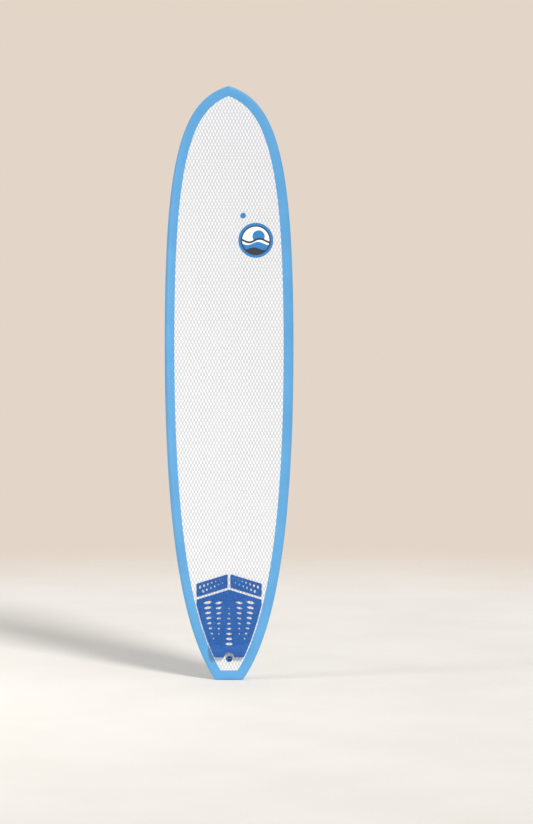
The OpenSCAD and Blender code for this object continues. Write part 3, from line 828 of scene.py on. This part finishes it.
# %% Deck foam: white cells between pale grey lines, with the badge printed on
BADGE_X, BADGE_Z, BADGE_R = 0.124, 2.038, 0.081
deck_paint, tree, shader, where = start_material("deck foam white", Specular_IOR_Level=0.35)
pressed = place_group(tree, cells, Vector=where)
foam = place_group(tree, grain, Vector=where, Fineness=1100.0)
body = blend_colours(tree, pressed["Line"], paint(237, 237, 237), paint(190, 191, 194))
body = blend_colours(tree, ramp(tree, foam["Tone"], 0.35, 0.75, 0.0, 0.16), body,
                     paint(226, 228, 231))
scuffs = wear_rough(tree, shader, where, 0.62, 0.25)
body = blend_colours(tree, scuffs, body, paint(190, 192, 196))
printed = place_group(tree, badge, Vector=where, Middle_x=BADGE_X, Middle_z=BADGE_Z,
                      Radius=BADGE_R)
body = blend_colours(tree, calc(tree, "MULTIPLY", printed["Mask"], 0.96), body, printed["Color"])
feed(tree, shader.inputs["Base Color"], body)
emboss(tree, shader, (foam["Height"], 0.00006), (pressed["Height"], 0.0007))
cover(deck_paint, deck_foam)

# %% Rail foam: plain light blue, closed and smooth, with a faint grain
rail_paint, tree, shader, where = start_material("rail foam blue", Specular_IOR_Level=0.4)
foam = place_group(tree, grain, Vector=where, Fineness=1300.0)
body = blend_colours(tree, ramp(tree, foam["Tone"], 0.35, 0.70), paint(91, 160, 209),
                     paint(83, 151, 201))
scuffs = wear_rough(tree, shader, where, 0.50, 0.30)
body = blend_colours(tree, scuffs, body, paint(160, 200, 232))
feed(tree, shader.inputs["Base Color"], body)
emboss(tree, shader, (foam["Height"], 0.00007))
cover(rail_paint, rail_foam)

# %% Slick: glossy blue, the same cells seen through a clear skin, and a badge
slick_paint, tree, shader, where = start_material(
    "slick blue", Coat_Weight=0.6, Coat_Roughness=0.06, Specular_IOR_Level=0.5)
pressed = place_group(tree, cells, Vector=where, Line_start=0.42, Line_full=0.88)
tone = noise(tree, where, 2.2, 3.0)
lines = blend_colours(tree, ramp(tree, tone, 0.3, 0.7), paint(78, 154, 208), paint(92, 170, 218))
body = blend_colours(tree, pressed["Line"], paint(134, 204, 245), lines)
scuffs = wear_rough(tree, shader, where, 0.26, 0.22)
body = blend_colours(tree, scuffs, body, paint(176, 206, 228))
printed = place_group(tree, badge, Vector=where, Middle_x=-0.150, Middle_z=BADGE_Z,
                      Radius=BADGE_R)
body = blend_colours(tree, printed["Mask"], body, printed["Color"])
feed(tree, shader.inputs["Base Color"], body)
emboss(tree, shader, (pressed["Height"], 0.0002), (noise(tree, where, 3.0, 2.0), 0.0006))
cover(slick_paint, slick)

# %% Edge trim: satin dark blue strip
trim_paint, tree, shader, where = start_material("trim dark blue", Specular_IOR_Level=0.5)
foam = place_group(tree, grain, Vector=where, Fineness=1500.0)
feed(tree, shader.inputs["Base Color"], blend_colours(tree, foam["Tone"], paint(12, 66, 140),
                                                      paint(26, 88, 166)))
wear_rough(tree, shader, where, 0.36, 0.35)
emboss(tree, shader, (foam["Height"], 0.00005))
cover(trim_paint, trim)

# %% Pad rubber: deep blue foam flecked with lighter crumbs, matt
pad_paint, tree, shader, where = start_material("pad foam rubber", Specular_IOR_Level=0.3,
                                                Sheen_Weight=0.12, Sheen_Roughness=0.4)
foam = place_group(tree, grain, Vector=where, Fineness=1400.0)
body = blend_colours(tree, ramp(tree, foam["Tone"], 0.30, 0.72), paint(18, 70, 138),
                     paint(32, 88, 160))
crumbs = ramp(tree, noise(tree, where, 190.0, 2.0), 0.42, 0.62)
body = blend_colours(tree, calc(tree, "MULTIPLY", crumbs, 0.45), body, paint(56, 116, 186))
scuffs = wear_rough(tree, shader, where, 0.66, 0.35)
body = blend_colours(tree, scuffs, body, paint(96, 138, 196))
feed(tree, shader.inputs["Base Color"], body)
emboss(tree, shader, (foam["Height"], 0.00016))
cover(pad_paint, *pads)


# %% Moulded plastics: a faint spark texture from the mould, and handling
def moulded_plastic(name, deep, light, rough):
    material, tree, shader, where = start_material(name, Specular_IOR_Level=0.5)
    feed(tree, shader.inputs["Base Color"], blend_colours(
        tree, ramp(tree, noise(tree, where, 60.0, 4.0), 0.35, 0.7), deep, light))
    wear_rough(tree, shader, where, rough, 0.4)
    emboss(tree, shader, (noise(tree, where, 1800.0, 2.0), 0.00003))
    return material


cover(moulded_plastic("fin fitting plastic", paint(14, 40, 92), paint(24, 62, 126), 0.34), *moulded)
cover(moulded_plastic("leash fitting plastic", paint(24, 88, 166), paint(44, 116, 192), 0.34),
      leash_cup)


# %% Turned metals: fine rings of tool marks round the axis, as roughness and bump
def turned_metal(name, colour, dark, rough, stretched):
    material, tree, shader, where = start_material(name, metallic=1.0)
    marks = noise(tree, stretch(tree, where, stretched), 1.0, 3.0, 0.7)
    feed(tree, shader.inputs["Base Color"], blend_colours(
        tree, ramp(tree, noise(tree, where, 240.0, 4.0), 0.4, 0.7), colour, dark))
    worn = place_group(tree, handling, Vector=where, Amount=0.5)
    rough_now = calc(tree, "ADD", calc(tree, "MULTIPLY_ADD", marks, 0.18, rough),
                     worn["Gloss change"], clamp=True)
    feed(tree, shader.inputs["Roughness"], rough_now)
    emboss(tree, shader, (marks, 0.00003))
    return material


cover(turned_metal("brushed brass", paint(212, 176, 98), paint(178, 138, 70), 0.26,
                   (4000, 4000, 120)), plate)
cover(turned_metal("stainless steel", paint(196, 198, 202), paint(158, 161, 166), 0.22,
                   (500, 3600, 500)), *steel_parts)

# %% [markdown]
# ## What is inside the board
# The cores, stringers, laminates and inserts are sealed in, and show only if the board is cut
# or taken apart. They keep their CAD shape, and still get a real finish: beads of foam, the
# grain of ply, the weave of a laminate and the pores of cast foam.

# %% Bead foam cores
bead_foam, tree, shader, where = start_material("bead foam", roughness=0.8)
beads = tree.nodes.new("ShaderNodeTexVoronoi")
beads.feature = "DISTANCE_TO_EDGE"
feed(tree, beads.inputs["Vector"], where)
beads.inputs["Scale"].default_value = 260.0
seams = ramp(tree, beads.outputs["Distance"], 0.0, 0.12)
feed(tree, shader.inputs["Base Color"], blend_colours(tree, seams, paint(222, 219, 208),
                                                      paint(248, 246, 238)))
feed(tree, shader.inputs["Roughness"], ramp(tree, seams, 0.0, 1.0, 0.9, 0.7))
emboss(tree, shader, (seams, 0.0004))
cover(bead_foam, *[nodes["core_" + name] for name in
                   ("left_outer", "left_inner", "right_inner", "right_outer")])

# %% Ply stringers: grain that runs along the board
ply, tree, shader, where = start_material("ply", roughness=0.55)
rings = tree.nodes.new("ShaderNodeTexWave")
rings.bands_direction = "Y"
feed(tree, rings.inputs["Vector"], stretch(tree, where, (40, 160, 3)))
for label, value in (("Scale", 1.0), ("Distortion", 7.0), ("Detail", 4.0), ("Detail Scale", 1.4)):
    rings.inputs[label].default_value = value
fibres = noise(tree, stretch(tree, where, (900, 900, 30)), 1.0, 3.0)
wood = blend_colours(tree, rings.outputs["Fac"], paint(206, 170, 122), paint(164, 122, 78))
wood = blend_colours(tree, ramp(tree, fibres, 0.45, 0.75, 0.0, 0.5), wood, paint(132, 94, 58))
feed(tree, shader.inputs["Base Color"], wood)
feed(tree, shader.inputs["Roughness"], ramp(tree, fibres, 0.3, 0.7, 0.45, 0.65))
emboss(tree, shader, (fibres, 0.0002))
cover(ply, *[nodes["stringer_" + name] for name in ("left", "center", "right")])

# %% Woven laminates and cast inserts
laminate, tree, shader, where = start_material("woven laminate", roughness=0.35)
weave = place_group(tree, cells, Vector=where, Across=0.0022, Along=0.0022)
feed(tree, shader.inputs["Base Color"], blend_colours(tree, weave["Line"], paint(222, 224, 222),
                                                      paint(190, 194, 194)))
wear_rough(tree, shader, where, 0.35, 0.3)
emboss(tree, shader, (weave["Height"], 0.00012))
cover(laminate, nodes["deck_laminate"], nodes["bottom_laminate"])

cast_foam, tree, shader, where = start_material("cast foam", roughness=0.8)
foam = place_group(tree, grain, Vector=where, Fineness=700.0)
feed(tree, shader.inputs["Base Color"], blend_colours(tree, foam["Tone"], paint(232, 212, 150),
                                                      paint(206, 180, 112)))
feed(tree, shader.inputs["Roughness"], ramp(tree, foam["Tone"], 0.3, 0.7, 0.7, 0.9))
emboss(tree, shader, (foam["Height"], 0.0002))
cover(cast_foam, *[nodes[name] for name in
                   ("fin_insert", "plug_insert_left", "plug_insert_right", "leash_insert")])

# %% [markdown]
# ## Floor, light and camera
# A plain pale floor holds the board's shadow. It fades out at its rim, so that the backdrop
# takes over with no hard line. The key is a broad sun to the right, in front and above. A
# softbox grazes the left rail, and the backdrop itself fills the shadows.

# %% A pale floor that fades into the backdrop
FLOOR_R, FADE_FROM, FADE_TO = 9.0, 3.4, 6.6
bpy.ops.object.select_all(action="DESELECT")
bpy.ops.mesh.primitive_circle_add(vertices=128, radius=FLOOR_R, fill_type="NGON")
floor = bpy.context.object
floor.name = "floor"
floor_paint, tree, shader, where = start_material("pale floor", roughness=0.7)
floor_x, floor_y, _ = split(tree, where)
reach = calc(tree, "SQRT", calc(tree, "ADD", calc(tree, "MULTIPLY", floor_x, floor_x),
                                calc(tree, "MULTIPLY", floor_y, floor_y)))
feed(tree, shader.inputs["Alpha"], ramp(tree, reach, FADE_FROM, FADE_TO, 1.0, 0.0))
mottled = ramp(tree, noise(tree, where, 1.4, 5.0), 0.3, 0.7)
feed(tree, shader.inputs["Base Color"], blend_colours(tree, mottled, paint(246, 240, 231),
                                                      paint(241, 235, 225)))
emboss(tree, shader, (noise(tree, where, 30.0, 5.0), 0.002))
cover(floor_paint, floor)

# %% Backdrop colour for the camera, and an even fill for everything else
world = bpy.data.worlds.new("studio")
bpy.context.scene.world = world
world.use_nodes = True
tree = world.node_tree
seen = tree.nodes["Background"]
seen.inputs["Color"].default_value = paint(227, 214, 200)
fill_light = tree.nodes.new("ShaderNodeBackground")
fill_light.inputs["Color"].default_value = paint(246, 247, 250)
fill_light.inputs["Strength"].default_value = 0.56
which = tree.nodes.new("ShaderNodeMixShader")
tree.links.new(tree.nodes.new("ShaderNodeLightPath").outputs["Is Camera Ray"], which.inputs[0])
tree.links.new(fill_light.outputs[0], which.inputs[1])
tree.links.new(seen.outputs[0], which.inputs[2])
tree.links.new(which.outputs[0], tree.nodes["World Output"].inputs["Surface"])
bpy.context.scene.view_settings.view_transform = "Standard"


# %% A soft key light from the right, and a softbox that grazes the left rail
def turn_light(light, place, aim):
    light.rotation_euler = (Vector(aim) - Vector(place)).to_track_quat("-Z", "Y").to_euler()


bpy.ops.object.light_add(type="SUN", location=(4.2, -7.0, 6.0))
key = bpy.context.object
key.name, key.data.energy, key.data.angle = "key", 2.35, 0.24
turn_light(key, key.location, (0, 0, 0))
bpy.ops.object.light_add(type="AREA", location=(-3.6, -1.2, 1.9))
graze = bpy.context.object
graze.name, graze.data.shape = "left_graze", "RECTANGLE"
graze.data.size, graze.data.size_y, graze.data.energy = 0.8, 3.0, 55
turn_light(graze, graze.location, (0, 0, 1.5))

# %% Camera: level with the board's middle, looking down a little
AIM, DISTANCE, LOOK_DOWN = Vector((0.1733, 0, 1.2456)), 14.0, math.radians(3)
bpy.ops.object.camera_add()
camera = bpy.context.object
camera.data.sensor_fit = "VERTICAL"
camera.data.sensor_height = 24
camera.data.lens = 88.2
camera.location = AIM + Vector((0, -math.cos(LOOK_DOWN), math.sin(LOOK_DOWN))) * DISTANCE
camera.rotation_euler = (AIM - camera.location).to_track_quat("-Z", "Y").to_euler()
camera.data.clip_end = 100
bpy.context.scene.camera = camera
